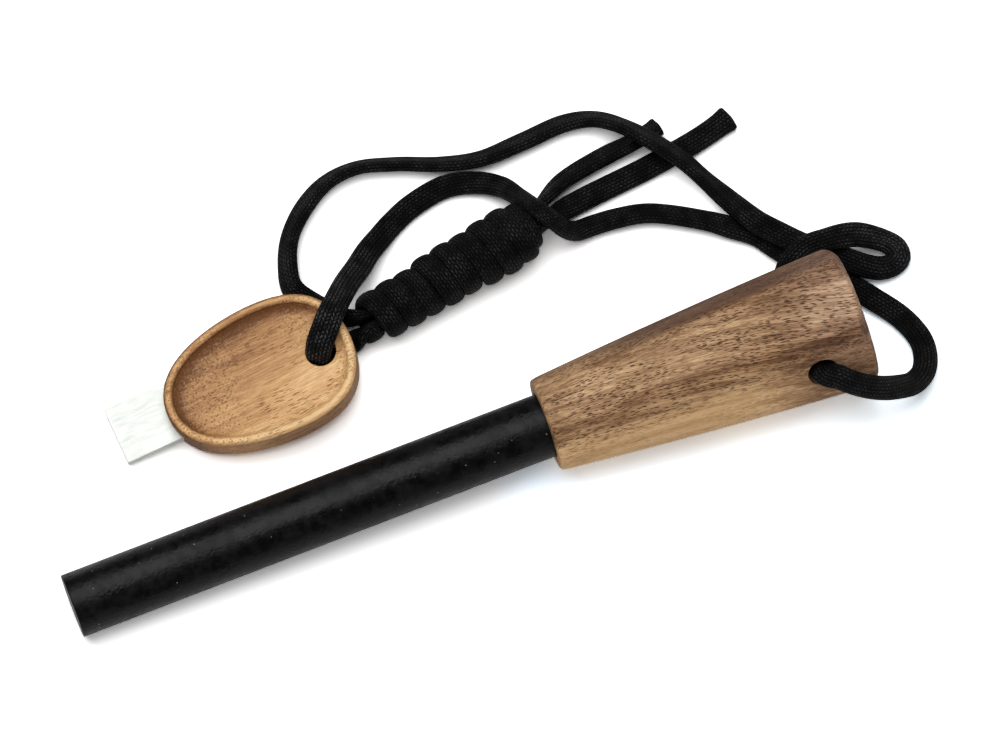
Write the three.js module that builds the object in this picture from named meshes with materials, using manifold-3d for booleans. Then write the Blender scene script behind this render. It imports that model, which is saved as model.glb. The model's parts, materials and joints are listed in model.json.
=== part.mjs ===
// A ferro rod fire starter: a thick ferrocerium rod glued in a hardwood handle, and a wooden striker with
// a steel blade, tied to each other by one flat braided lanyard. Millimetres, +Z up, lying on the table.
import * as THREE from "three";
import { mergeVertices } from "three/addons/utils/BufferGeometryUtils.js";
import Module from "manifold-3d";

// Clearances and overruns
const touchGap = 0.3;
const cutOverrun = 5;
const weldDistance = 1e-4;

// The rod
const rodDiameter = 12.7;
const rodLength = 127;
const rodInHandle = 29;
const rodEndBevel = 0.25;

// The handle: round at its front, flattened on six sides towards its butt
const handleLength = 64.3;
const handleFrontDiameter = 18.6;
const handleButtAcrossFlats = 26.4;
const handleButtAcrossCorners = 29.4;
const handleFrontRound = 0.8;
// Between its ends the handle swells a little: how far from the front, and its radius and its flats there
const handleSwell = [
  [24, 11.6, 11.05],
  [43, 13.2, 12.2],
];
const handleChamferLength = 1.7;
const handleChamferWidth = 2.3;
const handleSkew = THREE.MathUtils.degToRad(1.3);
const lanyardHoleDiameter = 6.2;
const lanyardHoleFromButt = 10.8;
const sides = 6;

// The striker's wooden holder: an egg-shaped dish
const holderLength = 38.8;
const holderWidth = 27.1;
const holderEggShare = 0.14;
const holderSquareness = 0.025;
const holderThickness = 7.5;
const holderFootInset = 1.8;
const rimWidth = 1.9;
const dishDepth = 2.2;
const dishCorner = 0.8;
const strikerHoleDiameter = 6.2;
const strikerHoleFromMiddle = 12.9;
const strikerHoleAside = -0.5;

// The striker's steel blade, pushed into a slot beside the holder's middle, away from the rod
const bladeLength = 26;
const bladeWidth = 12;
const bladeThickness = 1.5;
const bladeShown = 10.8;
const bladeAside = 1.7;
const bladeAboveFoot = 2.3;

// Where the striker lies: its hole's place beside the rod, its turn, and how far the cord lifts it there
const strikerHoleX = 63.65;
const strikerHoleY = 30.9;
const strikerTurn = THREE.MathUtils.degToRad(3);
const strikerLift = 3.1;

// The lanyard: flat braided cord
const cordWidth = 4.8;
const cordThickness = 2.6;
const cordSides = 8;

// The whipping: one length of the cord wound tight round two pressed strands
const whippingStart = [74.2, 34.3];
const whippingEnd = [110.2, 41.0];
const whippingStartDiameter = 9.9;
const whippingEndDiameter = 12.6;
const whippingTurns = 7.75;
const wrapThickness = 2.1;
const wrapWidth = 3.65;
const wrapSides = 6;
const wrapSteps = 24;
const pressedWidth = 3.8;
const pressedThickness = 2.0;
const pressedApart = 2.8;
const pressedOverhang = 0.4;

const wasm = await Module();
wasm.setup();

function toSolid(geometry) {
  const bare = geometry.index ? geometry.toNonIndexed() : geometry.clone();
  bare.deleteAttribute("normal");
  bare.deleteAttribute("uv");
  const merged = mergeVertices(bare, weldDistance);
  return new wasm.Manifold(
    new wasm.Mesh({
      numProp: 3,
      vertProperties: merged.attributes.position.array,
      triVerts: new Uint32Array(merged.index.array),
    }),
  );
}

function toGeometry(solid) {
  const { vertProperties, triVerts } = solid.getMesh();
  return new THREE.BufferGeometry()
    .setAttribute("position", new THREE.BufferAttribute(vertProperties, 3))
    .setIndex(new THREE.BufferAttribute(triVerts, 1));
}

// A cylinder or a six-sided frustum along +X from its start, from one radius to another
function alongX(startX, length, startRadius, endRadius, segments) {
  return new THREE.CylinderGeometry(endRadius, startRadius, length, segments)
    .rotateY(Math.PI / segments)
    .rotateZ(-Math.PI / 2)
    .translate(startX + length / 2, 0, 0);
}

// A closed surface through rings of points, with a fan at each end
function ringSurface(rings) {
  const count = rings[0].length;
  const middles = [rings[0], rings.at(-1)].map((ring) =>
    ring.reduce((sum, p) => sum.add(p), new THREE.Vector3()).divideScalar(count),
  );
  const points = [...rings.flat(), ...middles];
  const first = points.length - 2;
  const index = [];
  rings.slice(1).forEach((_, r) => {
    for (let i = 0; i < count; i++) {
      const a = r * count + i;
      const b = r * count + ((i + 1) % count);
      index.push(a, b, b + count, a, b + count, a + count);
    }
  });
  const last = (rings.length - 1) * count;
  for (let i = 0; i < count; i++) {
    const next = (i + 1) % count;
    index.push(first, next, i, first + 1, last + i, last + next);
  }
  const geometry = new THREE.BufferGeometry().setFromPoints(points);
  geometry.setIndex(index);
  return geometry;
}

const materials = {
  ferro: new THREE.MeshStandardMaterial({ color: 0x26262a, roughness: 0.45, metalness: 0.6 }),
  walnut: new THREE.MeshStandardMaterial({ color: 0x9c6f4c, roughness: 0.55, metalness: 0 }),
  acacia: new THREE.MeshStandardMaterial({ color: 0xc09460, roughness: 0.6, metalness: 0 }),
  steel: new THREE.MeshStandardMaterial({ color: 0xe6e6e4, roughness: 0.3, metalness: 1 }),
  cord: new THREE.MeshStandardMaterial({ color: 0x16161a, roughness: 0.7, metalness: 0 }),
};

function piece(name, geometry, material) {
  const mesh = new THREE.Mesh(geometry, material);
  mesh.name = name;
  return mesh;
}

// The rod lies on its tip and the handle's butt, so its axis rises a little towards the butt
const rodRadius = rodDiameter / 2;
const rodShown = rodLength - rodInHandle;
const frontRadius = handleFrontDiameter / 2;
const buttFlat = handleButtAcrossFlats / 2;
const buttCorner = handleButtAcrossCorners / 2;
const [swellPlace, , swellFlat] = handleSwell.at(-1);
const flatTaper = (buttFlat - swellFlat) / (handleLength - swellPlace);
const chamferSlope = handleChamferWidth / handleChamferLength;
const chamferStart = handleLength - handleChamferLength;
const restFromFront =
  (buttCorner + chamferSlope * chamferStart - buttFlat + flatTaper * handleLength) /
  (flatTaper + chamferSlope);
const restFlat = buttFlat - flatTaper * (handleLength - restFromFront);
const rise = Math.atan((restFlat - rodRadius) / (rodShown + restFromFront));
const tipHeight = rodRadius * Math.cos(rise);

function makeRod() {
  const end = rodRadius - rodEndBevel;
  const profile = [
    new THREE.Vector2(0, 0),
    new THREE.Vector2(end, 0),
    new THREE.Vector2(rodRadius, rodEndBevel),
    new THREE.Vector2(rodRadius, rodLength - rodEndBevel),
    new THREE.Vector2(end, rodLength),
    new THREE.Vector2(0, rodLength),
  ];
  return new THREE.LatheGeometry(profile, 48).rotateZ(-Math.PI / 2);
}

// The handle has its front face's centre at the origin and its axis along +X, and its bore for the rod is
// a little skew. Its butt is chamfered in the lathe, so the chamfer bites deepest into its corners.
function makeHandle() {
  const round = handleFrontRound;
  const profile = [
    new THREE.Vector2(0, 0),
    new THREE.Vector2(frontRadius - round, 0),
    new THREE.Vector2(frontRadius - round * 0.3, round * 0.3),
    new THREE.Vector2(frontRadius, round),
    ...handleSwell.map(([place, radius]) => new THREE.Vector2(radius, place)),
    new THREE.Vector2(buttCorner, chamferStart),
    new THREE.Vector2(buttCorner - handleChamferWidth, handleLength),
    new THREE.Vector2(0, handleLength),
  ];
  const turned = new THREE.LatheGeometry(profile, 60).rotateZ(-Math.PI / 2);
  const toCorner = 1 / Math.cos(Math.PI / sides);
  const planes = [
    [-cutOverrun, 0],
    [-cutOverrun, frontRadius],
    ...handleSwell.map(([place, , flat]) => [place, flat]),
    [handleLength + cutOverrun, buttFlat + flatTaper * cutOverrun],
    [handleLength + cutOverrun, 0],
  ].map(([place, flat]) => new THREE.Vector2(flat * toCorner, place));
  const flats = new THREE.LatheGeometry(planes, sides)
    .rotateY(Math.PI / sides)
    .rotateZ(-Math.PI / 2);
  // The hole runs square through the near upper flat, which looks 30 degrees up from level
  const holeRadius = lanyardHoleDiameter / 2;
  const hole = new THREE.CylinderGeometry(holeRadius, holeRadius, buttCorner * 4, 32)
    .rotateX(-Math.PI / sides)
    .translate(handleLength - lanyardHoleFromButt, 0, 0);
  const bore = alongX(
    -cutOverrun,
    rodInHandle + touchGap + cutOverrun,
    rodRadius + touchGap,
    rodRadius + touchGap,
    48,
  ).rotateZ(handleSkew);
  return toGeometry(
    toSolid(turned)
      .intersect(toSolid(flats))
      .subtract(toSolid(hole))
      .subtract(toSolid(bore)),
  );
}

const starter = new THREE.Group();
starter.position.set(0, 0, tipHeight);
starter.rotation.y = -rise;
const handle = piece("handle", makeHandle(), materials.walnut);
handle.position.x = rodShown;
handle.rotation.z = -handleSkew;
starter.add(piece("ferro_rod", makeRod(), materials.ferro), handle);

// The egg-shaped outline of the holder, set in by an amount, at a height. Its middle is the origin.
function eggRing(inset, height, count = 48) {
  const long = holderLength / 2;
  const half = holderWidth / 2;
  return Array.from({ length: count }, (_, i) => {
    const t = (i / count) * 2 * Math.PI;
    const q = holderSquareness;
    const wide = (half * (Math.sin(t) + q * Math.sin(3 * t))) / (1 - q);
    const widen = (half * (Math.cos(t) + 3 * q * Math.cos(3 * t))) / (1 - q);
    const egg = 1 + holderEggShare * Math.cos(t);
    const x = (long * (Math.cos(t) - q * Math.cos(3 * t))) / (1 - q);
    const y = wide * egg;
    const along = (-long * (Math.sin(t) - 3 * q * Math.sin(3 * t))) / (1 - q);
    const across = widen * egg - wide * holderEggShare * Math.sin(t);
    const size = Math.hypot(along, across);
    return new THREE.Vector3(x - (inset * across) / size, y + (inset * along) / size, height);
  });
}

const dishFloor = holderThickness - dishDepth;
const bladeOuterEnd = -(holderLength / 2 + bladeShown);

// The holder: a foot with a rounded edge, an upright wall, a rolled rim, and the dish inside it
function makeHolder() {
  const foot = holderFootInset;
  const rim = rimWidth;
  const top = holderThickness;
  const wall = ringSurface([
    eggRing(foot, 0),
    eggRing(foot * 0.4, foot * 0.3),
    eggRing(0, foot),
    eggRing(0, top - rim * 0.5),
    eggRing(rim * 0.15, top - rim * 0.2),
    eggRing(rim * 0.45, top),
    eggRing(rim * 0.8, top - rim * 0.08),
    eggRing(rim, top - rim * 0.35),
    eggRing(rim * 1.1, dishFloor + dishCorner),
    eggRing(rim * 1.1 + dishCorner * 0.4, dishFloor + dishCorner * 0.3),
    eggRing(rim * 1.1 + dishCorner, dishFloor),
  ]);
  const slotLength = bladeLength + touchGap;
  const slot = new THREE.BoxGeometry(
    slotLength,
    bladeWidth + 2 * touchGap,
    bladeThickness + 2 * touchGap,
  ).translate(bladeOuterEnd + slotLength / 2, bladeAside, bladeAboveFoot + bladeThickness / 2);
  const hole = new THREE.CylinderGeometry(
    strikerHoleDiameter / 2,
    strikerHoleDiameter / 2,
    holderThickness + 2 * cutOverrun,
    32,
  )
    .rotateX(Math.PI / 2)
    .translate(strikerHoleFromMiddle, strikerHoleAside, holderThickness / 2);
  return toGeometry(toSolid(wall).subtract(toSolid(slot)).subtract(toSolid(hole)));
}

const holder = piece("striker_holder", makeHolder(), materials.acacia);
const blade = piece(
  "striker_blade",
  new THREE.BoxGeometry(bladeLength, bladeWidth, bladeThickness).translate(
    bladeOuterEnd + bladeLength / 2,
    bladeAside,
    bladeAboveFoot + bladeThickness / 2,
  ),
  materials.steel,
);
// The striker lies on the far end of its foot and, at its hole, on the cord that runs under it
const footReach = strikerHoleFromMiddle + holderLength / 2 - holderFootInset;
const striker = new THREE.Group();
striker.add(holder, blade);
striker.children.forEach((mesh) => mesh.position.set(-strikerHoleFromMiddle, -strikerHoleAside, 0));
striker.position.set(strikerHoleX, strikerHoleY, strikerLift);
striker.rotation.set(0, -Math.asin(strikerLift / footReach), strikerTurn, "YZX");

// A smooth route for the flat cord, with a section at each of its points. A point is x, y and z, and how
// many degrees the flat is turned up on edge there, which is none where it isn't given.
class CordRoute extends THREE.CatmullRomCurve3 {
  constructor(route) {
    super(route.map(([x, y, z]) => new THREE.Vector3(x, y, z)), false, "centripetal");
    this.rolls = route.map(([, , , roll = 0]) => THREE.MathUtils.degToRad(roll));
  }

  getUtoTmapping(u) {
    return u;
  }

  // The flat lies level across the route, and keeps its side where the route stands upright
  computeFrenetFrames(steps) {
    const up = new THREE.Vector3(0, 0, 1);
    const uprightSine = 0.3;
    const frames = { tangents: [], normals: [], binormals: [] };
    let across = null;
    this.rolls.forEach((roll, i) => {
      const tangent = this.getTangentAt(i / steps);
      const level = tangent.clone().cross(up);
      if (across && level.length() < uprightSine) level.copy(across).projectOnPlane(tangent);
      if (across && level.dot(across) < 0) level.negate();
      across = level.normalize();
      const binormal = across.clone().applyAxisAngle(tangent, roll);
      frames.tangents.push(tangent);
      frames.binormals.push(binormal);
      frames.normals.push(binormal.clone().cross(tangent));
    });
    return frames;
  }
}

function flatSection(width, thickness, count) {
  return Array.from({ length: count }, (_, i) => {
    const angle = ((i + 0.5) / count) * 2 * Math.PI;
    return new THREE.Vector2((thickness / 2) * Math.cos(angle), (width / 2) * Math.sin(angle));
  });
}

function makeCord(route, width = cordWidth, thickness = cordThickness) {
  return new THREE.ExtrudeGeometry(new THREE.Shape(flatSection(width, thickness, cordSides)), {
    steps: route.length - 1,
    extrudePath: new CordRoute(route),
    bevelEnabled: false,
  });
}

// The routes of the free stretches
const cordRoutes = {
  // From the whipping, under the striker's rim and round over both cut ends to the handle's butt
  cord_back_run: [
    [73, 35.5, 4.9, -90],
    [72, 35.35, 4.85, -88],
    [70.7, 36, 3.9, -58],
    [69.1, 38.1, 1.8, -8],
    [66.2, 42.3, 1.5],
    [63.4, 47.1, 1.8, -38],
    [64.1, 51.9, 2, -47],
    [66.6, 57.3, 2, -48],
    [71.5, 62.3, 1.9, -38],
    [77.4, 65.6, 2, -47],
    [83.8, 66.3, 2.15, -55],
    [91.4, 64.3, 2.1, -52],
    [99.7, 61.1, 2.05, -48],
    [107.6, 59.3, 1.95, -43],
    [116.3, 59.7, 1.8, -33],
    [125.7, 60.3, 1.9, -33],
    [131.1, 58.7, 2.9, -40],
    [135.5, 54.4, 5.3, -46],
    [139.5, 49.4, 5.9, -38],
    [144.1, 43.4, 4.7, -38],
    [146.9, 38.8, 2.9, -42],
    [150.2, 32.2, 2.7, -12],
    [152.9, 26.4, 4.3],
    [156.2, 22.5, 4.1],
    [159.2, 19.2, 3.9],
  ],
  // The small loop beside the butt, back over itself and into the handle's far mouth
  cord_loop: [
    [159.5, 18.9, 3.9],
    [162.2, 16.4, 3.8],
    [166.1, 13.2, 3.7, 10],
    [169, 10.7, 3.4, 20],
    [172.1, 9.1, 2.8, 40],
    [175.1, 8.8, 2.5, 60],
    [177.3, 9.8, 2.5, 65],
    [177.5, 11.9, 2.6, 55],
    [176, 13.8, 3.2, 35],
    [170.6, 16.1, 5.4],
    [167.4, 16.7, 6.7],
    [163.4, 17.1, 6.9],
    [159.5, 17.3, 6.3],
    [155.6, 16, 5.6],
    [153.1, 14.2, 5],
    [152, 11.7, 5.4],
    [151.86, 9.58, 6.5],
    [151.36, -1.08, 12.67],
  ],
  // Out of the handle's near mouth, over its lower edge and round behind the butt
  cord_butt_turn: [
    [151.34, -1.34, 12.81],
    [150.84, -12, 18.97],
    [151.4, -13.3, 19.6, 15],
    [152.9, -14.5, 20.2, 28],
    [154.5, -15.8, 19.6, 35],
    [157.3, -17.1, 17.5, 35],
    [160.7, -17.9, 14.8, 32],
    [164.5, -17.7, 11.1, 20],
    [168.2, -16.8, 7.4, 10],
    [171.4, -14.5, 4.9],
    [173.3, -10.9, 3.2],
    [173.8, -7.1, 2.2],
    [172.2, -1.6, 1.6],
    [167.9, 5, 1.5],
    [164.2, 10, 1.5],
    [160.4, 14.2, 1.5],
    [157.5, 17.4, 1.5],
  ],
  // Back from the butt, over the whipping's end, towards the striker
  cord_front_run: [
    [157.2, 17.75, 1.5],
    [154.9, 21, 1.5],
    [152.2, 25, 1.5],
    [147.9, 28.3, 1.6, 10],
    [144.5, 30.9, 1.7, 25],
    [134.2, 36.7, 1.7, 25],
    [127.8, 38, 1.7, 22],
    [123.3, 38.3, 1.7, 18],
    [119.6, 38, 2.8, 8],
    [116.9, 38, 6.4, -28],
    [114.5, 39.8, 10.2, -12],
    [112.4, 42.6, 11],
    [110.7, 47.5, 6.8],
    [108.8, 51.9, 3.4, 5],
    [105.3, 54.8, 1.8, 5],
    [99.3, 56.5, 1.5],
    [91.6, 55.2, 1.5],
    [86.3, 52.95, 1.5],
  ],
  // Down into the striker's hole, and back under the striker to the whipping
  cord_striker_turn: [
    [85.7, 52.62, 1.5],
    [83.2, 51, 2.1],
    [79.8, 48.6, 3.4],
    [76.5, 45.4, 5.6],
    [72.9, 42.1, 8.5],
    [69.2, 38.1, 12.1],
    [66.6, 35.3, 13.2],
    [64.5, 33.2, 12.3],
    [63.45, 31.9, 10.6],
    [63.1, 31.05, 8.3],
    [63.3, 30.95, 6.2],
    [63.75, 31.05, 4.2],
    [64.95, 31.4, 2.2],
    [67, 31.9, 1.5],
    [69.6, 32, 1.6],
    [71.2, 32.15, 2.9, -38],
    [72.4, 32.45, 4.6, -80],
    [73.5, 32.7, 4.9, -90],
  ],
  // The two cut ends that leave the whipping
  cord_tail_back: [
    [110.9, 42.55, 6.34, -90],
    [112, 42.75, 6.35, -88],
    [114.3, 44.5, 5.7, -72],
    [119.6, 48.2, 3.2, -42],
    [123.2, 49.6, 2.2, -33],
    [131, 51.1, 1.8, -28],
    [136.6, 51.7, 1.9, -38],
    [143, 53.1, 1.9, -38],
  ],
  cord_tail_front: [
    [111.4, 39.85, 6.34, -90],
    [112.5, 40.05, 6.33, -88],
    [114.8, 40.9, 5.1, -55],
    [116.9, 42.4, 3.3, -20],
    [119.8, 43.5, 2, -5],
    [125.2, 44.4, 1.5],
    [137.7, 45.8, 1.5],
    [149.4, 47.8, 1.5],
    [156.9, 49.9, 1.5],
  ],
};
const lanyard = new THREE.Group();
for (const [name, route] of Object.entries(cordRoutes))
  lanyard.add(piece(name, makeCord(route), materials.cord));

// The whipping lies on the table, so its axis climbs as it thickens
const whippingAxis = new THREE.Line3(
  new THREE.Vector3(...whippingStart, whippingStartDiameter / 2),
  new THREE.Vector3(...whippingEnd, whippingEndDiameter / 2),
);
const axisDirection = whippingAxis.delta(new THREE.Vector3()).normalize();
const axisSide = new THREE.Vector3(0, 0, 1).cross(axisDirection).normalize();
const axisUp = axisDirection.clone().cross(axisSide);

// The flat wraps climb the barrel right-handed, from behind it to an end under it. Each end runs straight.
function makeWhipping() {
  const length = whippingAxis.distance();
  const halfWidth = wrapWidth / 2;
  const rings = [];
  const addRing = (turn, straight) => {
    const share = turn / whippingTurns;
    const along = THREE.MathUtils.lerp(halfWidth, length - halfWidth, share);
    const outer = THREE.MathUtils.lerp(whippingStartDiameter, whippingEndDiameter, share) / 2;
    const angle = 2 * Math.PI * turn;
    const radial = axisSide
      .clone()
      .multiplyScalar(Math.cos(angle))
      .addScaledVector(axisUp, Math.sin(angle));
    const forward = axisDirection.clone().cross(radial);
    const centre = whippingAxis.start
      .clone()
      .addScaledVector(axisDirection, along)
      .addScaledVector(radial, outer - wrapThickness / 2)
      .addScaledVector(forward, straight);
    rings.push(
      flatSection(wrapWidth, wrapThickness, wrapSides).map((p) =>
        centre.clone().addScaledVector(radial, p.x).addScaledVector(axisDirection, -p.y),
      ),
    );
  };
  addRing(0, -wrapWidth);
  for (let step = 0; step <= whippingTurns * wrapSteps; step++) addRing(step / wrapSteps, 0);
  addRing(whippingTurns, wrapWidth);
  let gap = Infinity;
  rings.forEach((ring, r) =>
    rings.slice(r + wrapSteps / 2).forEach((other) =>
      ring.forEach((p) => other.forEach((q) => (gap = Math.min(gap, p.distanceTo(q))))),
    ),
  );
  console.log("cord_whipping's least gap to itself is " + gap.toFixed(2) + " mm");
  return ringSurface(rings);
}
lanyard.add(piece("cord_whipping", makeWhipping(), materials.cord));

// The two strands inside the whipping, pressed on edge against each other
for (const [name, side] of [
  ["cord_pressed_back", 1],
  ["cord_pressed_front", -1],
]) {
  const offset = axisSide.clone().multiplyScalar((side * pressedApart) / 2);
  const ends = [
    whippingAxis.start.clone().addScaledVector(axisDirection, -pressedOverhang),
    whippingAxis.end.clone().addScaledVector(axisDirection, pressedOverhang),
  ].map((end) => [...end.add(offset).toArray(), 90]);
  lanyard.add(piece(name, makeCord(ends, pressedWidth, pressedThickness), materials.cord));
}

// The origin is on the table, under the middle of the rod, handle and striker together
const part = new THREE.Group();
part.add(starter, striker, lanyard);
const solidPieces = new THREE.Box3().setFromObject(starter, true);
solidPieces.union(new THREE.Box3().setFromObject(striker, true));
const middle = solidPieces.getCenter(new THREE.Vector3());
part.position.set(-middle.x, -middle.y, 0);

export default part;
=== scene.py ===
# A ferro rod fire starter: a thick rod in a walnut handle, tied by one flat braided cord to a wooden striker
# with a steel blade, as they lie on a white table. Metres, +Z up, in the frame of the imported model.
import json
import math

import bmesh
import bpy
import numpy as np
from mathutils import Matrix, Quaternion, Vector


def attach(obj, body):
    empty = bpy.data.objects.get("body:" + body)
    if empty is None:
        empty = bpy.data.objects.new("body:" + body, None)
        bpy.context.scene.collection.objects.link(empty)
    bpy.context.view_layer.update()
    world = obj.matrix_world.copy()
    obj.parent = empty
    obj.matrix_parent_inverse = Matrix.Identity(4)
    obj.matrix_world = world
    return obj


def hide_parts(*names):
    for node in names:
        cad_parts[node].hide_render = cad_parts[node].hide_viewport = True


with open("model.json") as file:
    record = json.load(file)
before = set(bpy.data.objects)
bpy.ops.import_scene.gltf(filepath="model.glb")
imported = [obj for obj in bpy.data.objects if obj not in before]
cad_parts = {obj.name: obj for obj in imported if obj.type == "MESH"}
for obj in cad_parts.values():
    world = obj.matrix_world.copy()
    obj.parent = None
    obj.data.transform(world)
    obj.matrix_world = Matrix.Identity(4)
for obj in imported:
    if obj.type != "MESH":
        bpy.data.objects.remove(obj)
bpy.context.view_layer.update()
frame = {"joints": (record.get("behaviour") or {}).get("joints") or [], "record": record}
mounts = {mount["name"]: mount for mount in frame["record"]["mounts"]}

# The view, the table and the lamps
# A long lens looks down at a seamless sweep of white paper. One large soft lamp hangs almost straight over
# it, a little to the picture's upper left. A weak one, which nothing mirrors, fills in from the front.
scene = bpy.context.scene
scene.view_settings.view_transform = "Standard"
middle = Vector((0.01386, 0.00261, 0))
sensor_width, focal_length, clip_start, clip_end = 36, 324, 0.05, 50
view_turn, view_height, view_distance = -21.3, 70, 1.7578
lamp_turn, lamp_height, lamp_distance, lamp_size, lamp_watts = 203, 78, 1.25, 1.15, 13.2
fill_turn, fill_height, fill_distance, fill_size, fill_watts = -15, 34, 1.3, 0.9, 3.2
room_light = 0.13
table_half_size, table_drop = 12, 0.00004
table_colour = (0.9, 0.9, 0.9, 1)
# Seen straight, the paper is brighter than the light on it, and away from the pieces it is plain white
bright_table = (2.1, 2.1, 2.1, 1)
white_from, white_to = 0.16, 0.4
# Beside the handle the paper's shadow is painted cooler, which takes the wood's glow out of it, and towards
# the butt it is painted lighter
bright_by_handle, bright_by_butt = (1.98, 2.24, 2.48, 1), (2.42, 2.66, 2.82, 1)
cool_front, cool_butt = (0, 0.014), (0.11, 0.092)
cool_near, cool_far = (-0.045, -0.029), (0, -0.012)
butt_from, butt_to = 0.04, 0.07


def aimed(data, turn, height, distance):
    """A camera or a lamp that stands round the middle of the picture and looks at it."""
    turn, height = math.radians(turn), math.radians(height)
    level = math.cos(height)
    towards = Vector((math.sin(turn) * level, -math.cos(turn) * level, math.sin(height)))
    thing = bpy.data.objects.new(data.name, data)
    scene.collection.objects.link(thing)
    thing.location = middle + towards * distance
    thing.rotation_euler = (-towards).to_track_quat("-Z", "Y").to_euler()
    return thing


class Wire:
    """A socket among a material's nodes. Arithmetic on it adds Math nodes."""

    def __init__(self, socket):
        self.socket = socket

    def node(self, kind, sockets=(), output=0, stops=None, **settings):
        """A new node of a kind, with its settings, and with values or wires for its sockets."""
        tree = self.socket.id_data
        made = tree.nodes.new("ShaderNode" + kind)
        for name, value in settings.items():
            setattr(made, name, value)
        if stops:
            ramp = made.color_ramp
            while len(ramp.elements) < len(stops):
                ramp.elements.new(0.5)
            for element, (place, colour) in zip(ramp.elements, stops):
                element.position, element.color = place, (*colour, 1)
        for name, value in dict(sockets).items():
            if isinstance(value, Wire):
                tree.links.new(value.socket, made.inputs[name])
            else:
                made.inputs[name].default_value = value
        return Wire(made.outputs[output])

    def math(self, operation, *others):
        return self.node("Math", enumerate((self, *others)), operation=operation)

    def between(self, low, high, start=0, end=1):
        """Rises smoothly from start to end while the value goes from low to high."""
        values = {0: self, 1: low, 2: high, 3: start, 4: end}
        return self.node("MapRange", values, interpolation_type="SMOOTHSTEP")

    def split(self, count=3):
        """The first few of a place's X, Y and Z."""
        return [self.node("SeparateXYZ", {0: self}, output=i) for i in range(count)]

    def mix(self, low, high):
        """One colour where the value is 0, and the other where it is 1."""
        return self.node("Mix", {0: self, 6: low, 7: high}, output=2, data_type="RGBA")

    def noise(self, scale, detail, roughness=0.5):
        """Cloudy noise at a place."""
        sockets = {"Vector": self, "Scale": scale, "Detail": detail, "Roughness": roughness}
        return self.node("TexNoise", sockets)

    def cells(self, scale, output="Distance"):
        """How far a place is from the middle of its cell, or that cell's own colour."""
        return self.node("TexVoronoi", {"Vector": self, "Scale": scale}, output=output)

    def bump(self, distance, strength):
        """The value as a relief."""
        return self.node("Bump", {"Height": self, "Distance": distance, "Strength": strength})

    def __add__(self, other):
        return self.math("ADD", other)

    def __sub__(self, other):
        return self.math("SUBTRACT", other)

    def __mul__(self, other):
        return self.math("MULTIPLY", other)

    def __truediv__(self, other):
        return self.math("DIVIDE", other)

    def __pow__(self, other):
        return self.math("POWER", other)

    def __rsub__(self, other):
        return self * -1 + other

    __radd__ = __add__
    __rmul__ = __mul__


def new_finish(name, **values):
    """A material, its main shader's sockets by name, and a wire of the place on the piece."""
    material = bpy.data.materials.new(name)
    material.use_nodes = True
    tree = material.node_tree
    shader = tree.nodes["Principled BSDF"].inputs
    for socket, value in values.items():
        shader[socket.replace("_", " ")].default_value = value
    return material, shader, Wire(tree.nodes.new("ShaderNodeTexCoord").outputs["Object"])


def feed(socket, wire):
    socket.id_data.links.new(wire.socket, socket)


lens = bpy.data.cameras.new("camera")
lens.sensor_width, lens.lens = sensor_width, focal_length
lens.clip_start, lens.clip_end = clip_start, clip_end
scene.camera = aimed(lens, view_turn, view_height, view_distance)

for name, size, watts, *stand in [
    ("softbox", lamp_size, lamp_watts, lamp_turn, lamp_height, lamp_distance),
    ("fill", fill_size, fill_watts, fill_turn, fill_height, fill_distance),
]:
    lamp = bpy.data.lights.new(name, "AREA")
    lamp.shape, lamp.size, lamp.energy = "SQUARE", size, watts
    aimed(lamp, *stand).visible_glossy = name == "softbox"

room = bpy.data.worlds.new("room")
scene.world = room
room.use_nodes = True
backdrop = room.node_tree.nodes["Background"].inputs
backdrop["Color"].default_value = (1, 1, 1, 1)
path = Wire(room.node_tree.nodes.new("ShaderNodeLightPath").outputs["Is Camera Ray"])
feed(backdrop["Strength"], path * (1 - room_light) + room_light)

blank = bmesh.new()
bmesh.ops.create_grid(blank, x_segments=1, y_segments=1, size=table_half_size)
bmesh.ops.translate(blank, verts=blank.verts, vec=(0, 0, -table_drop))
table_mesh = bpy.data.meshes.new("table")
blank.to_mesh(table_mesh)
blank.free()
table = bpy.data.objects.new("table", table_mesh)
scene.collection.objects.link(table)
paper, _, place = new_finish("white_sweep", Base_Color=table_colour, Roughness=1, Specular_IOR_Level=0)
straight, through_glass, mirrored = (
    place.node("LightPath", output=f"Is {kind} Ray") for kind in ("Camera", "Transmission", "Glossy")
)
straight = straight.math("MAXIMUM", through_glass)
seen = straight.math("MAXIMUM", mirrored)
plain = Wire(paper.node_tree.nodes["Principled BSDF"].outputs[0])
along, across = place.split(2)
# Where the shadow beside the handle is painted cooler, and lighter towards the butt
cool = across.between(*cool_near) * across.between(*cool_far)
cool = cool * along.between(*cool_front) * along.between(*cool_butt)
colours = bright_table, bright_by_handle, bright_by_butt
bright, by_handle, by_butt = (place.node("BsdfDiffuse", {"Color": colour}) for colour in colours)
by_wood = place.node("MixShader", {0: along.between(butt_from, butt_to), 1: by_handle, 2: by_butt})
bright = place.node("MixShader", {0: cool, 1: bright, 2: by_wood})
white = place.node("Emission", {"Color": (1, 1, 1, 1), "Strength": 1.0})
from_middle = place.node("VectorMath", {0: place}, output="Value", operation="LENGTH")
near = place.node("MixShader", {0: straight, 1: plain, 2: bright})
near_or_far = place.node("MixShader", {0: from_middle.between(white_from, white_to), 1: near, 2: white})
sweep = place.node("MixShader", {0: seen, 1: plain, 2: near_or_far})
feed(paper.node_tree.nodes["Material Output"].inputs["Surface"], sweep)
table_mesh.materials.append(paper)

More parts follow.
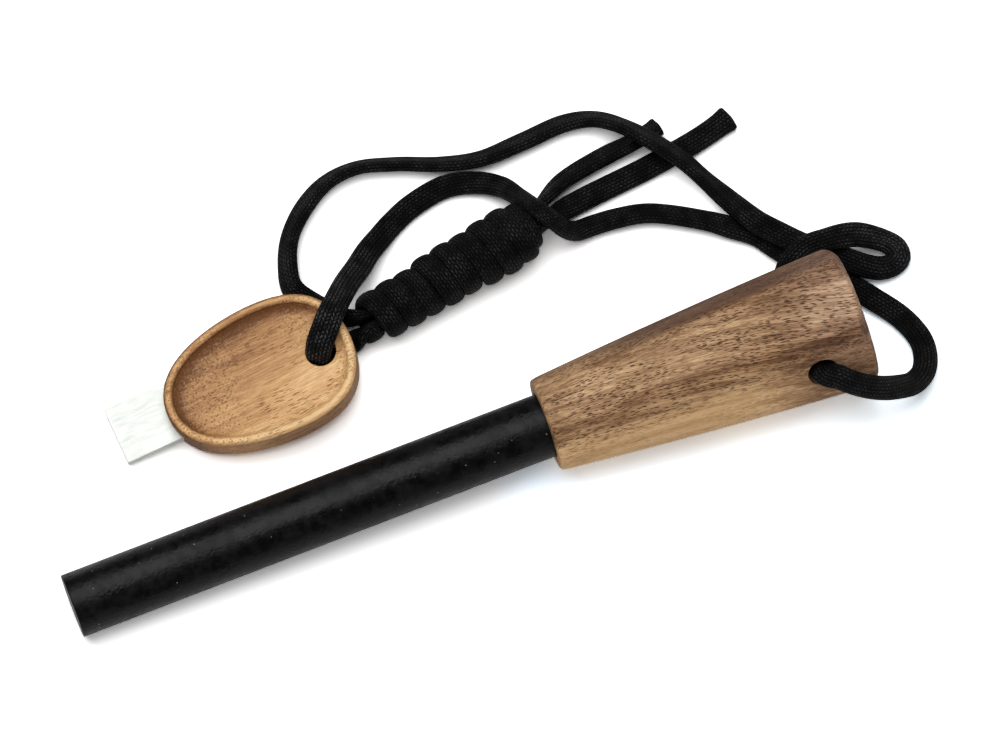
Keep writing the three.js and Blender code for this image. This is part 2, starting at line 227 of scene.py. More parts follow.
# The lanyard
# One flat braided nylon cord, 4.8 mm wide. It leaves the whipping, passes under the striker's rim and round
# to the handle, through its hole, back over the whipping's end and down through the striker's hole.
cord_width, cord_thickness = 0.0048, 0.0026
pressed_width, pressed_thickness = 0.0038, 0.0020
pressed_apart = 0.0028
pressed_places = (0.0006, 0.012, 0.024, 0.0305)
cord_roundness = 2.3
cord_groove, groove_share = 0.16, 0.4
cord_step, least_apart, cord_sides, outline_points = 0.0005, 0.0009, 32, 721
rounded_steps, blurred_steps, least_level = 3, 4, 0.3
opened_width, melt_reach, cut_round = 0.0005, 0.0007, 0.0006
columns_round, stitch_length, stitch_lean, stitch_slack = 18, 0.85, 0.75, 1.3
# The cord's black, which also stands for the painted shade between the stitches, the painted sheen on their
# tops, and the colour of a melted end
cord_black = (0.0022, 0.0022, 0.0024, 1)
cord_lit = (0.07, 0.07, 0.073, 1)
cord_melt = (0.05, 0.05, 0.052, 1)
rod_tip = Vector(mounts["rod_tip_face"]["pos_m"])
rod_tip.z = 0
whipping_start, whipping_end = Vector((0.0742, 0.0343, 0.00495)), Vector((0.1102, 0.041, 0.0063))

# Each route counts from under the middle of the rod's tip. A point is x, y and z, how many degrees the flat
# is turned up on edge there, and the cord's own width and thickness where it is spread or bunched up.
routes = {
    # From the whipping, under the striker's rim and round over both cut ends to the handle's butt
    "cord_back_run": [
        (0.073, 0.0359, 0.0049, -90),
        (0.0719, 0.0364, 0.0046, -88),
        (0.0706, 0.0374, 0.0035, -76),
        (0.069, 0.0392, 0.002, -30),
        (0.0662, 0.0425, 0.0015, 0),
        (0.0634, 0.0471, 0.0018, -38),
        (0.0641, 0.0519, 0.002, -47),
        (0.0666, 0.0573, 0.002, -48),
        (0.0715, 0.0623, 0.0019, -38),
        (0.0774, 0.0656, 0.002, -47),
        (0.0838, 0.0663, 0.00215, -55),
        (0.0914, 0.0643, 0.0021, -52),
        (0.0997, 0.0611, 0.00205, -48),
        (0.1076, 0.0593, 0.00195, -43),
        (0.1163, 0.0597, 0.0018, -33),
        (0.1257, 0.0603, 0.0019, -33),
        (0.1311, 0.0587, 0.0029, -40),
        (0.1355, 0.0544, 0.0053, -46),
        (0.1395, 0.0494, 0.0059, -38),
        (0.1441, 0.0434, 0.0047, -38),
        (0.1469, 0.0388, 0.0029, -42),
        (0.1502, 0.0322, 0.0027, -12),
        (0.1529, 0.0264, 0.0043, 0),
        (0.1562, 0.0225, 0.0041, 0),
        (0.1592, 0.0192, 0.0039, 0),
    ],
    # The small loop beside the butt, back over itself and into the handle's far mouth
    "cord_loop": [
        (0.1595, 0.0189, 0.0039, 0),
        (0.1622, 0.0164, 0.0038, 0),
        (0.1661, 0.0132, 0.0037, 10),
        (0.169, 0.0107, 0.0034, 20),
        (0.1721, 0.0091, 0.0028, 35),
        (0.1746, 0.009, 0.0027, 38),
        (0.1763, 0.0101, 0.0028, 28, 0.0052, 0.0026),
        (0.1763, 0.0119, 0.0031, 22, 0.0055, 0.0026),
        (0.1747, 0.0138, 0.0038, 20, 0.0052, 0.0026),
        (0.1706, 0.0161, 0.0054, 0, 0.0052, 0.0026),
        (0.1674, 0.0167, 0.0067, 0, 0.0051, 0.0026),
        (0.1634, 0.0171, 0.0069, 0),
        (0.1595, 0.0173, 0.0063, 0),
        (0.156, 0.0159, 0.0056, 0),
        (0.1539, 0.014, 0.0051, 25),
        (0.1527, 0.0115, 0.0055, 25),
        (0.15186, 0.00958, 0.0065, 0),
        (0.15136, -0.00108, 0.01267, 0),
    ],
    # Out of the handle's near mouth, over its lower edge and round behind the butt
    "cord_butt_turn": [
        (0.15134, -0.00134, 0.01281, 0),
        (0.15084, -0.012, 0.01897, 0),
        (0.1514, -0.0133, 0.0196, 15),
        (0.1529, -0.0145, 0.0202, 28),
        (0.1545, -0.0158, 0.0196, 35),
        (0.1573, -0.0171, 0.0175, 35),
        (0.1607, -0.0179, 0.0148, 32),
        (0.1645, -0.0177, 0.0111, 20),
        (0.1682, -0.0168, 0.0074, 10),
        (0.1714, -0.0145, 0.0049, 0),
        (0.1733, -0.0109, 0.0032, 0),
        (0.1738, -0.0071, 0.0022, 0),
        (0.1722, -0.0016, 0.0016, 0),
        (0.1679, 0.005, 0.0015, 0),
        (0.1642, 0.01, 0.0015, 0),
        (0.1604, 0.0142, 0.0015, 0),
        (0.1575, 0.0174, 0.0015, 0),
    ],
    # Back from the butt, over the whipping's end, towards the striker
    "cord_front_run": [
        (0.1572, 0.01775, 0.0015, 0),
        (0.1549, 0.021, 0.0015, 0),
        (0.1522, 0.025, 0.0015, 0),
        (0.1479, 0.0283, 0.0016, 10),
        (0.1445, 0.0309, 0.0017, 25),
        (0.1342, 0.0367, 0.0017, 25),
        (0.1278, 0.038, 0.0017, 22),
        (0.1233, 0.0383, 0.0017, 18, 0.0046, 0.0027),
        (0.1196, 0.038, 0.0028, 8, 0.0043, 0.003),
        (0.1169, 0.0379, 0.0068, -28, 0.0038, 0.0032),
        (0.1145, 0.0396, 0.0107, -12, 0.0035, 0.0034),
        (0.1124, 0.0424, 0.0116, 0, 0.0034, 0.0034),
        (0.1107, 0.0473, 0.0074, 0, 0.0037, 0.0032),
        (0.1088, 0.0519, 0.0034, 5, 0.0045, 0.0028),
        (0.1053, 0.0548, 0.0018, 5),
        (0.0993, 0.0565, 0.0015, 0),
        (0.0916, 0.0552, 0.0015, 0),
        (0.0863, 0.05295, 0.0015, 0),
    ],
    # Down into the striker's hole, and back under the striker to the whipping
    "cord_striker_turn": [
        (0.0857, 0.05262, 0.0015, 0),
        (0.0832, 0.051, 0.0021, 0, 0.0049, 0.0026),
        (0.0798, 0.0486, 0.0034, 0, 0.005, 0.0026),
        (0.0765, 0.0454, 0.0056, 0, 0.0052, 0.0026),
        (0.0729, 0.0421, 0.0085, 0, 0.0052, 0.0026),
        (0.0693, 0.038, 0.0121, 0, 0.0052, 0.0026),
        (0.0668, 0.0353, 0.0132, 0, 0.0054, 0.0026),
        (0.0648, 0.0331, 0.0123, 0, 0.0055, 0.0027),
        (0.0632, 0.0315, 0.0107, 0, 0.0054, 0.0029),
        (0.0624, 0.0303, 0.0085, 0, 0.0051, 0.0032),
        (0.0626, 0.0302, 0.0062, 0, 0.0049, 0.0032),
        (0.0633, 0.0305, 0.0042, 0),
        (0.0649, 0.0314, 0.0022, 0),
        (0.067, 0.0321, 0.0015, 0),
        (0.0695, 0.0326, 0.0015, 0),
        (0.0713, 0.0327, 0.0019, -10),
        (0.0726, 0.0325, 0.0032, -45),
        (0.0736, 0.0327, 0.0047, -85),
    ],
    # The two cut ends that leave the whipping
    "cord_tail_back": [
        (0.1109, 0.04255, 0.00634, -90),
        (0.112, 0.04275, 0.00635, -88),
        (0.1143, 0.0445, 0.0057, -72),
        (0.1196, 0.0482, 0.0032, -42),
        (0.1232, 0.0496, 0.0022, -33),
        (0.131, 0.0511, 0.0018, -28),
        (0.1366, 0.0517, 0.0019, -38),
        (0.143, 0.0531, 0.0019, -38),
    ],
    "cord_tail_front": [
        (0.1114, 0.03985, 0.00634, -90),
        (0.1125, 0.04005, 0.00633, -88),
        (0.1148, 0.0409, 0.0051, -55),
        (0.1169, 0.0424, 0.0033, -20),
        (0.1198, 0.0435, 0.002, -5),
        (0.1252, 0.0444, 0.0015, 0),
        (0.1377, 0.0458, 0.0015, 0),
        (0.1494, 0.0478, 0.0015, 0),
        (0.1569, 0.0499, 0.0015, 0),
    ],
}
whipping_way = (whipping_end - whipping_start).normalized()
whipping_side = Vector((0, 0, 1)).cross(whipping_way).normalized()
for name, side in [("cord_pressed_back", 0.5), ("cord_pressed_front", -0.5)]:
    offset = whipping_side * side * pressed_apart
    routes[name] = [(*(whipping_start + whipping_way * along + offset), 90) for along in pressed_places]


def unit(rows):
    return rows / np.linalg.norm(rows, axis=1)[:, None]


def through(points):
    """Close points on a smooth curve through the given ones, and where those are among them."""
    points = np.array(points, float)
    points = np.vstack([2 * points[0] - points[1], points, 2 * points[-1] - points[-2]])
    knots = np.append(0, np.cumsum(np.linalg.norm(np.diff(points, axis=0), axis=1) ** 0.5))
    line, marks = [], []
    for i in range(1, len(points) - 2):
        (before, here, there, beyond), (t0, t1, t2, t3) = points[i - 1 : i + 3], knots[i - 1 : i + 3]
        leave = (here - before) / (t1 - t0) - (there - before) / (t2 - t0) + (there - here) / (t2 - t1)
        arrive = (there - here) / (t2 - t1) - (beyond - here) / (t3 - t1) + (beyond - there) / (t3 - t2)
        marks.append(len(line))
        count = max(1, math.ceil(np.linalg.norm(there - here) / cord_step))
        for s in np.arange(count) / count:
            ease = s * s * (3 - 2 * s)
            swing = s * (1 - s) * ((1 - s) * leave - s * arrive) * (t2 - t1)
            line.append(here + (there - here) * ease + swing)
    marks.append(len(line))
    line.append(points[-2])
    return np.array(line), marks


def lay_flat(name):
    """The places of a stretch's sections, each with the way of its flat, its width and its thickness."""
    route = routes[name]
    line, marks = through([point[:3] for point in route])
    ways = unit(np.gradient(line, axis=0))
    size = (pressed_width, pressed_thickness) if "pressed" in name else (cord_width, cord_thickness)
    across, sections = None, []
    for mark, (x, y, z, roll, *own) in zip(marks, route):
        way = Vector(ways[mark])
        level = way.cross(Vector((0, 0, 1)))
        # Where the cord runs almost straight up or down, its flat stays as it was
        if across and level.length < least_level:
            level = across - way * across.dot(way)
        if across and level.dot(across) < 0:
            level.negate()
        across = level.normalized()
        flat = Quaternion(way, math.radians(roll)) @ across
        sections.append((rod_tip + Vector((x, y, z)), flat, *(own or size)))
    return sections


def flat_section(groove):
    """Points evenly round the cord's rounded flat section, as shares of its half width and half thickness."""
    angle = np.linspace(0, 2 * math.pi, outline_points)
    shape = np.array([np.cos(angle), np.sin(angle)])
    shape = np.sign(shape) * np.abs(shape) ** (2 / cord_roundness)
    shape[1] *= 1 - groove * np.exp(-((shape[0] / groove_share) ** 2))
    walk = np.linalg.norm(np.diff(shape * [[cord_width], [cord_thickness]], axis=1), axis=0)
    walk = np.append(0, np.cumsum(walk))
    even = np.linspace(0, walk[-1], cord_sides + 1)[:-1]
    return [np.interp(even, walk, row) for row in shape]


def sleeve(name, around, rings, spot, length=1, tints=None):
    """A closed skin made by rolling up a grid. Its length runs up its UV map, and each ring has a tint."""
    skin = bmesh.new()
    weave = skin.loops.layers.uv.new("along")
    tint = skin.verts.layers.float.new("tint")
    bmesh.ops.create_grid(skin, x_segments=around, y_segments=rings - 1, size=1, calc_uvs=True)
    for vertex in skin.verts:
        column = round((vertex.co.x + 1) / 2 * around) % around
        ring = round((vertex.co.y + 1) / 2 * (rings - 1))
        vertex.co = spot(column, ring)
        vertex[tint] = 0 if tints is None else tints[ring]
    for face in skin.faces:
        face.smooth = True
        for loop in face.loops:
            loop[weave].uv.y *= length
    bmesh.ops.remove_doubles(skin, verts=skin.verts, dist=1e-7)
    bmesh.ops.recalc_face_normals(skin, faces=skin.faces)
    mesh = bpy.data.meshes.new(name)
    skin.to_mesh(mesh)
    skin.free()
    piece = bpy.data.objects.new(name, mesh)
    scene.collection.objects.link(piece)
    return piece


def braided_tube(name, sections, finish, melted=None, groove=cord_groove):
    """A flat cord through sections of a place, a flat way, a width and a thickness.

    For a cut end, melted says by which shares it flares and swells, and how far from the cut.
    """
    line, marks = through([section[0] for section in sections])
    ways = unit(np.gradient(line, axis=0))
    rest = [Vector(sections[0][1])]
    for way in ways[1:]:
        rest.append((rest[-1] - Vector(way) * rest[-1].dot(Vector(way))).normalized())
    turn = []
    for mark, (_, flat, *_) in zip(marks, sections):
        turn.append(math.atan2(flat.dot(Vector(ways[mark]).cross(rest[mark])), flat.dot(rest[mark])))
    every = np.arange(len(line))
    turn = np.interp(every, marks, np.unwrap(turn, period=math.pi))
    blur = np.ones(2 * blurred_steps + 1) / (2 * blurred_steps + 1)
    turn = np.convolve(np.pad(turn, blurred_steps, "edge"), blur, "valid")
    width, thickness = (np.interp(every, marks, [section[i] for section in sections]) / 2 for i in (2, 3))
    # The tint falls to -1 where the cord is spread and its braid opens, and rises to 1 where it is melted
    tints = -np.clip((width * 2 - cord_width) / opened_width, 0, 1)
    end = np.minimum(every, every[::-1]) / rounded_steps
    end = np.sqrt(np.clip(1 - (1 - np.minimum(end, 1)) ** 2, 0, 1))
    if melted:
        flare, swell, reach = melted
        from_cut = every[::-1] * cord_step
        tints = tints + np.exp(-((from_cut / melt_reach) ** 2))
        width = width * (1 + flare * np.exp(-((from_cut / reach) ** 2)))
        thickness = thickness * (1 + swell * np.exp(-((from_cut / reach) ** 2)))
        end = np.where(from_cut < reach, np.sqrt(np.clip(from_cut / cut_round, 0, 1)), end)
    spread, rise = flat_section(groove)
    frames = []
    for place, way, still, angle in zip(line, ways, rest, turn):
        flat = Quaternion(Vector(way), angle) @ still
        frames.append((Vector(place), flat, Vector(way).cross(flat)))

    def on_tube(column, ring):
        centre, flat, thin = frames[ring]
        size = end[ring]
        sideways = flat * (spread[column] * width[ring] * size)
        return centre + sideways + thin * (rise[column] * thickness[ring] * size)

    length = float(np.linalg.norm(np.diff(line, axis=0), axis=1).sum())
    piece = sleeve(name, cord_sides, len(line), on_tube, length * 1000, tints)
    piece.data.materials.append(finish)
    return piece, line, length


# The braid: columns of slanting stitches run along the cord, leaning left and right in turn
braid, shader, place = new_finish("braided_nylon", Specular_IOR_Level=0.08)
round_cord, along_cord = place.node("UVMap", uv_map="along").split(2)
column = round_cord * columns_round
odd = column.math("FLOOR").math("MODULO", 2)
across = column.math("FRACT")
slant = (odd * 2 - 1) * (across - 0.5) * stitch_lean + odd * 0.5
stitch = along_cord / stitch_length + slant + place.noise(420.0, 2.0) * stitch_slack
swell = (across * math.pi).math("SINE") * (stitch.math("FRACT") * math.pi).math("SINE")
swell = swell ** 0.6
patch = place.noise(300.0, 3.0).between(0.35, 0.68)
fibre = place.noise(3000.0, 2.0)
tint = place.node("Attribute", attribute_name="tint", output=2)
melt = tint.math("MAXIMUM", 0.0)
# Painted sheen on the tops of the stitches and painted shade in the gaps between them, with the sheen
# stronger where the braid is spread open
lit_share = swell ** 3 * (patch * 0.85 + 0.15) * fibre.between(0.3, 0.7, 0.15, 1.2)
lit_share = lit_share * tint.between(-0.1, -0.9, 0.8, 1.7)
feed(shader["Base Color"], melt.between(0.35, 0.8).mix(lit_share.mix(cord_black, cord_lit), cord_melt))
feed(shader["Roughness"], 0.66 - swell * (patch * 0.16 + 0.04) - melt * 0.1)
relief = (swell + fibre * 0.15) * (1 - melt)
feed(shader["Normal"], relief.bump(0.00026, 1.0))

order = ["cord_back_run", "cord_loop", "cord_butt_turn", "cord_front_run", "cord_striker_turn"]
run = [section for name in order for section in lay_flat(name)]
pressed = {name: lay_flat(name) for name in ("cord_pressed_back", "cord_pressed_front")}
sections = pressed["cord_pressed_back"][2::-1] + run + pressed["cord_pressed_front"][:3]
sections = [s for i, s in enumerate(sections) if i == 0 or (s[0] - sections[i - 1][0]).length > least_apart]
lanyard, line, length = braided_tube("lanyard", sections, braid)
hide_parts(*order, "cord_pressed_back", "cord_pressed_front")
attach(lanyard, "fire_starter")

# The cut ends
# The cord's two ends leave the whipping side by side. Each was cut with a hot knife, which melted the braid
# into a hard rim.
for name, melted in [("back", (0.06, 0.45, 0.0012)), ("front", (0.16, 0.12, 0.0022))]:
    inside = pressed["cord_pressed_" + name][3:]
    sections = inside + lay_flat("cord_tail_" + name)
    tail, line, length = braided_tube("cord_end_" + name, sections, braid, melted=melted)
    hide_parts("cord_tail_" + name)
    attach(tail, "fire_starter")

# The whipping
# The same cord, wound tight and right-handed round the two strands, so that they hold the loop shut. Its
# barrel thickens towards the cut ends. Its first turn is tucked in, and its last one dives under the rest.
wrap_width, wrap_thickness = 0.0046, 0.0028
whipping_diameters = (0.0099, 0.0126)
whipping_turns = 7.75
first_turn, seated_turn, last_turn = -0.62, 7.85, 8.6
start_tuck_turns, start_tuck_depth = 0.6, 0.0013
end_tuck_turns, end_tuck_depth = 1.15, 0.002
edge_share, ends_share, sunk_share = 0.42, 0.72, 0.42
wobble_size = 0.00015
wrap_points_a_turn = 16
whipping_up = whipping_way.cross(whipping_side)
barrel_start, barrel_end = whipping_start + rod_tip, whipping_end + rod_tip
wound_length = (barrel_end - barrel_start).length - wrap_width * ends_share
wraps = []
for step in range(round((last_turn - first_turn) * wrap_points_a_turn) + 1):
    turn = first_turn + step / wrap_points_a_turn
    share = turn / whipping_turns
    angle = 2 * math.pi * turn
    wobble = wobble_size * math.sin(4.8 * turn + 0.7) + wobble_size * math.sin(2.3 * turn)
    start_tuck = max(0, (first_turn + start_tuck_turns - turn) / start_tuck_turns)
    end_tuck = max(0, (turn + end_tuck_turns - last_turn) / end_tuck_turns)
    outer = (whipping_diameters[0] * (1 - share) + whipping_diameters[1] * share) / 2 + wobble
    outer -= start_tuck_depth * start_tuck**1.5 + end_tuck_depth * end_tuck
    radial = whipping_side * math.cos(angle) + whipping_up * math.sin(angle)
    along = wrap_width * edge_share + wound_length * (min(turn, seated_turn) / whipping_turns)
    centre = barrel_start + whipping_way * (along + wobble) + radial * (outer - wrap_thickness * sunk_share)
    wraps.append((centre, whipping_way, wrap_width, wrap_thickness))
whipping, line, length = braided_tube("whipping", wraps, braid, groove=0)
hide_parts("cord_whipping")
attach(whipping, "fire_starter")

# The rod
# A cast ferrocerium rod, 12.7 mm by 127 mm, under a thin black coat that keeps it from rusting. Its skin
# is a little rough, with a few bright grains whose glints are painted into its colour, and its ends are cut
# off square.
rod_radius, rod_length, rod_bevel = 0.00635, 0.127, 0.00025
rod_sides, shaft_rings, shaft_inset, inner_share = 96, 60, 0.001, 0.6
rod_black, rod_dull = (0.0009, 0.0009, 0.001, 1), (0.0055, 0.0054, 0.0064, 1)
rod_glint = (0.22, 0.22, 0.23, 1)
rod_way = -Vector(mounts["rod_tip_face"]["axis"])
rod_up = Vector((-rod_way.z, 0, rod_way.x))


def laid(origin, along, upward):
    """The matrix of a piece whose X runs along and whose Z points upward."""
    side = upward.cross(along)
    return Matrix.Translation(origin) @ Matrix([along, side, upward]).transposed().to_4x4()


rod_place = laid(Vector(mounts["rod_tip_face"]["pos_m"]), rod_way, rod_up)


def turned(name, around, profile, at):
    """A piece turned about its X from a profile of places and radii."""

    def on_lathe(column, ring):
        x, radius = profile[ring]
        angle = 2 * math.pi * column / around
        return at @ Vector((x, radius * math.cos(angle), radius * math.sin(angle)))

    return sleeve(name, around, len(profile), on_lathe)


tip = [(0, 0), (0, rod_radius * inner_share)]
for t in np.linspace(1.57, 0, 5):
    tip.append((rod_bevel * (1 - math.sin(t)), rod_radius - rod_bevel * (1 - math.cos(t))))
shaft = [(x, rod_radius) for x in np.linspace(shaft_inset, rod_length - shaft_inset, shaft_rings)]
hidden_end = [(rod_length - x, radius) for x, radius in reversed(tip)]
rod = turned("rod", rod_sides, [*tip, *shaft, *hidden_end], rod_place)
coat, shader, place = new_finish("black_ferrocerium", Specular_IOR_Level=0.17)
skin = place.noise(520.0, 4.0, 0.6)
pits = place.noise(1700.0, 2.0)
# Painted glints: small pale specks on a few grains, where they would catch the light
rare = place.cells(900.0, "Color").split(1)[0].between(0.88, 0.98)
sparkle = place.cells(900.0).between(0.17, 0.08) * rare
mottle = skin * 0.6 + place.noise(160.0, 3.0) * 0.4
feed(shader["Base Color"], sparkle.mix(mottle.between(0.38, 0.66).mix(rod_black, rod_dull), rod_glint))
feed(shader["Roughness"], mottle.between(0.38, 0.64, 0.27, 0.46))
relief = skin * 0.8 + pits * 0.4
feed(shader["Normal"], relief.bump(0.00024, 0.75))
rod.data.materials.append(coat)
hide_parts("ferro_rod")
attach(rod, "fire_starter")

# The handle
# Oiled walnut, turned to a cone and then planed on six sides towards its butt, so that its flats die away
# at the round front. The rod is glued into its bore, and the lanyard's hole runs through its near flat.
handle_length, handle_front, butt_corner = 0.0643, 0.0093, 0.0147
# How far out its ridges and its flats are at four places along it
taper_places = (0, 0.024, 0.043, 0.0635)
taper_ridges = (0.0093, 0.0116, 0.0132, 0.01474)
taper_flats = (0.0093, 0.01105, 0.0122, 0.01318)
front_round, chamfer_length, chamfer_width = 0.0008, 0.0017, 0.0023
front_shares, butt_shares = (0, 0.4, 0.85, 0.95, 0.99), (0.985, 0.9, 0.5, 0)
round_rings, taper_rings, chamfer_rings = 7, 90, 15
handle_flats, handle_sides, ridge_softness, least_facing = 6, 216, 0.00012, 0.3
bore_sides, bore_radius, bore_depth, bore_overrun = 96, 0.00665, 0.0293, 0.01
hole_sides, hole_radius, hole_from_butt, hole_reach, hole_slant = 64, 0.0031, 0.0108, 0.03, 30
sliver, sharp_from = 5e-6, 28
walnut_ramp = [
    (0.0, (0.12, 0.055, 0.026)),
    (0.3, (0.25, 0.128, 0.06)),
    (0.55, (0.385, 0.219, 0.11)),
    (0.8, (0.55, 0.34, 0.18)),
    (1.0, (0.73, 0.49, 0.285)),
]
# The painted glow's colour, the dark heartwood's and the pores'
walnut_glow, walnut_heart = (0.78, 0.47, 0.2, 1), (0.11, 0.05, 0.034, 1)
walnut_pore = (0.055, 0.022, 0.01, 1)
walnut_cooler = (0.98, 1, 1.17, 1)
handle_way = Vector(mounts["handle_butt_face"]["axis"])
handle_butt = Vector(mounts["handle_butt_face"]["pos_m"])
handle_place = laid(handle_butt - handle_way * handle_length, handle_way, rod_up)
ridge_at = np.poly1d(np.polyfit(taper_places, taper_ridges, 2))
flat_at = np.poly1d(np.polyfit(taper_places, taper_flats, 2))


def planed(name, around, profile, at):
    """The turned handle with its six flats, whose ridges are sanded a little."""

    def on_handle(column, ring):
        x, radius = profile[ring]
        angle = 2 * math.pi * column / around
        flat = flat_at(x)
        cuts = [radius]
        for side in range(handle_flats):
            facing = math.cos(angle - math.pi / 2 - side * 2 * math.pi / handle_flats)
            if facing > least_facing:
                cuts.append(flat / facing)
        least = min(cuts)
        close_cuts = sum(math.exp((least - cut) / ridge_softness) for cut in cuts)
        reach = least - ridge_softness * math.log(close_cuts)
        return at @ Vector((x, reach * math.cos(angle), reach * math.sin(angle)))

    return sleeve(name, around, len(profile), on_handle)


profile = [(0, share * (handle_front - front_round)) for share in front_shares]
for t in np.linspace(0, math.pi / 2, round_rings):
    profile.append((front_round * (1 - math.cos(t)), handle_front - front_round * (1 - math.sin(t))))
chamfer_start = handle_length - chamfer_length
profile += [(x, ridge_at(x)) for x in np.linspace(front_round, chamfer_start, taper_rings)[1:]]
for t in np.linspace(0, 1, chamfer_rings)[1:]:
    profile.append((chamfer_start + chamfer_length * t, butt_corner - chamfer_width * t))
profile += [(handle_length, share * (butt_corner - chamfer_width)) for share in butt_shares]
handle = planed("walnut_handle", handle_sides, profile, handle_place)


def bored(piece, tools):
    """Cuts the tools out of a piece, merges away the slivers beside the cuts, and takes the tools away."""
    for tool in tools:
        cut = piece.modifiers.new("cut", "BOOLEAN")
        cut.operation, cut.solver, cut.object = "DIFFERENCE", "EXACT", tool
    seen_now = bpy.context.evaluated_depsgraph_get()
    piece.data = bpy.data.meshes.new_from_object(piece.evaluated_get(seen_now))
    piece.data.name = piece.name
    piece.modifiers.clear()
    cut_piece = bmesh.new()
    cut_piece.from_mesh(piece.data)
    bmesh.ops.triangulate(cut_piece, faces=[face for face in cut_piece.faces if len(face.verts) > 4])
    bmesh.ops.dissolve_degenerate(cut_piece, dist=sliver, edges=cut_piece.edges)
    cut_piece.to_mesh(piece.data)
    cut_piece.free()
    for tool in tools:
        bpy.data.objects.remove(tool)
    piece.data.polygons.foreach_set("use_smooth", [True] * len(piece.data.polygons))
    piece.data.set_sharp_from_angle(angle=math.radians(sharp_from))


def drill(around, radius, start, end, at):
    return turned("drill", around, [(start, 0), (start, radius), (end, radius), (end, 0)], at)


bore_place = laid(handle_place.translation, rod_way, rod_up)
bore = drill(bore_sides, bore_radius, -bore_overrun, bore_depth, bore_place)
hole_middle = handle_place @ Vector((handle_length - hole_from_butt, 0, 0))
lean = math.radians(hole_slant)
hole_way = handle_place.to_3x3() @ Vector((0, math.cos(lean), -math.sin(lean)))
hole_place = laid(hole_middle, hole_way, hole_way.cross(handle_way).normalized())
hole = drill(hole_sides, hole_radius, -hole_reach, hole_reach, hole_place)
bored(handle, [bore, hole])


def in_place(place, at):
    """Where a point is on a piece that was laid there, in millimetres."""
    sockets = {0: place, 1: at.translation, 2: at.to_euler(), 3: (0.001, 0.001, 0.001)}
    return place.node("Mapping", sockets, vector_type="TEXTURE")


def stretched(place, x, y, z):
    """The places of a pattern that is drawn out along the grain."""
    return place.node("VectorMath", {0: place, 1: (x, y, z)}, operation="MULTIPLY")


walnut, shader, place = new_finish("oiled_walnut", Specular_IOR_Level=0.18)
wood = in_place(place, handle_place)
x, side, z = wood.split()
drift = stretched(wood, 0.03, 0.14, 0.14).noise(1.0, 3.0)
# How far a point is over the ridge on the far flat, and over the one on the near flat
far_flat, near_flat = side * 0.866 - z * 0.5, side * -0.866 - z * 0.5
# The fibres run out towards the near side at the butt
y = side + x * x * 0.0021 + (drift - 0.5) * 1.5
wood = wood.node("CombineXYZ", {0: x, 1: y, 2: z})
band = ((z * 0.2 + y * 0.13 + drift * 2.4) * 2 * math.pi).math("SINE") * 0.5 + 0.5
streak = stretched(wood, 0.04, 0.9, 0.9).noise(1.0, 5.0, 0.62)
fibre = stretched(wood, 0.16, 4.5, 4.5).noise(1.0, 3.0, 0.65)
# Painted light and shade: a painted glow low on the near flat, where light comes up from the table, a painted
# highlight on the top flat towards the butt, and painted shade along the ridge and beside the hole
table_glow = (near_flat + streak * 4).between(3.6, 7.5) * x.between(33, 52, 1, 0.1)
top_flat = near_flat.between(-1, -4) * far_flat.between(-2, -5)
butt_shade = near_flat.between(0.3, 2.5) * x.between(42, 54)
ridge_shade = near_flat.between(-0.9, -0.2) * near_flat.between(1.9, 0.7) * x.between(40, 54)
middle_shade = near_flat.between(-4, -1) * near_flat.between(4.5, 2.5) * x.between(60, 40)
tone = band * 0.14 + streak.between(0.36, 0.64) * 0.4 + fibre.between(0.34, 0.66) * 0.38
# Lighter towards the front, the painted glow and the painted highlight on the top flat, then painted shade
# along the ridge and beside the hole
tone = tone + x.between(35, 55, 0.13, -0.03) + table_glow * 0.28 + top_flat * (x.between(48, 60) * 0.34 + 0.06)
tone = tone - ridge_shade * 0.4 - middle_shade * 0.12 - butt_shade * 0.1
pore_where = stretched(wood, 0.06, 0.3, 0.3).noise(1.0, 2.0).between(0.36, 0.54)
pore = stretched(wood, 0.62, 3.4, 3.4).cells(1.0).between(0.42, 0.26)
pore = pore * (pore_where * 0.68 + 0.32) * near_flat.between(2, 7, 1, 0.35)
heart = (far_flat + streak * 2.4).between(0.2, 2.4) * x.between(6, 26)
# The painted glow mixed into the grown colour, then the heartwood and the pores
grown = (table_glow * 0.45).mix(tone.node("ValToRGB", {0: tone}, stops=walnut_ramp), walnut_glow)
grown = (heart * x.between(60, 46, 0.42, 0.76)).mix(grown, walnut_heart)
grown = (pore * 0.9).mix(grown, walnut_pore)
cooler = x.between(44, 60).mix((1, 1, 1, 1), walnut_cooler)
feed(shader["Base Color"], grown.node("VectorMath", {0: grown, 1: cooler}, operation="MULTIPLY"))
feed(shader["Roughness"], 0.58 + pore * 0.2 + heart * 0.16 - fibre * 0.08)
relief = fibre * 0.3 - pore
feed(shader["Normal"], relief.bump(0.00012, 0.6))
handle.data.materials.append(walnut)
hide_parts("handle")
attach(handle, "fire_starter")

# The striker's holder
# A palm-sized egg of paler wood with a rolled rim round a shallow thumb dish. The lanyard runs down through
# the hole at its one end, and the blade is glued into a slot in the other, a little off its middle line.
holder_half_length, holder_half_width, egg_share, squareness = 0.0194, 0.01355, 0.14, 0.025
holder_thickness, foot_inset, rim = 0.0075, 0.0018, 0.0019
holder_sides, foot_rings, rim_rings = 240, 9, 17
striker_hole_radius, striker_hole_from_middle, striker_hole_aside = 0.0031, 0.0129, -0.0005
striker_hole_reach = 0.01
dish_inset, dish_floor, dish_hollow = 0.0046, 0.0053, 0.0006
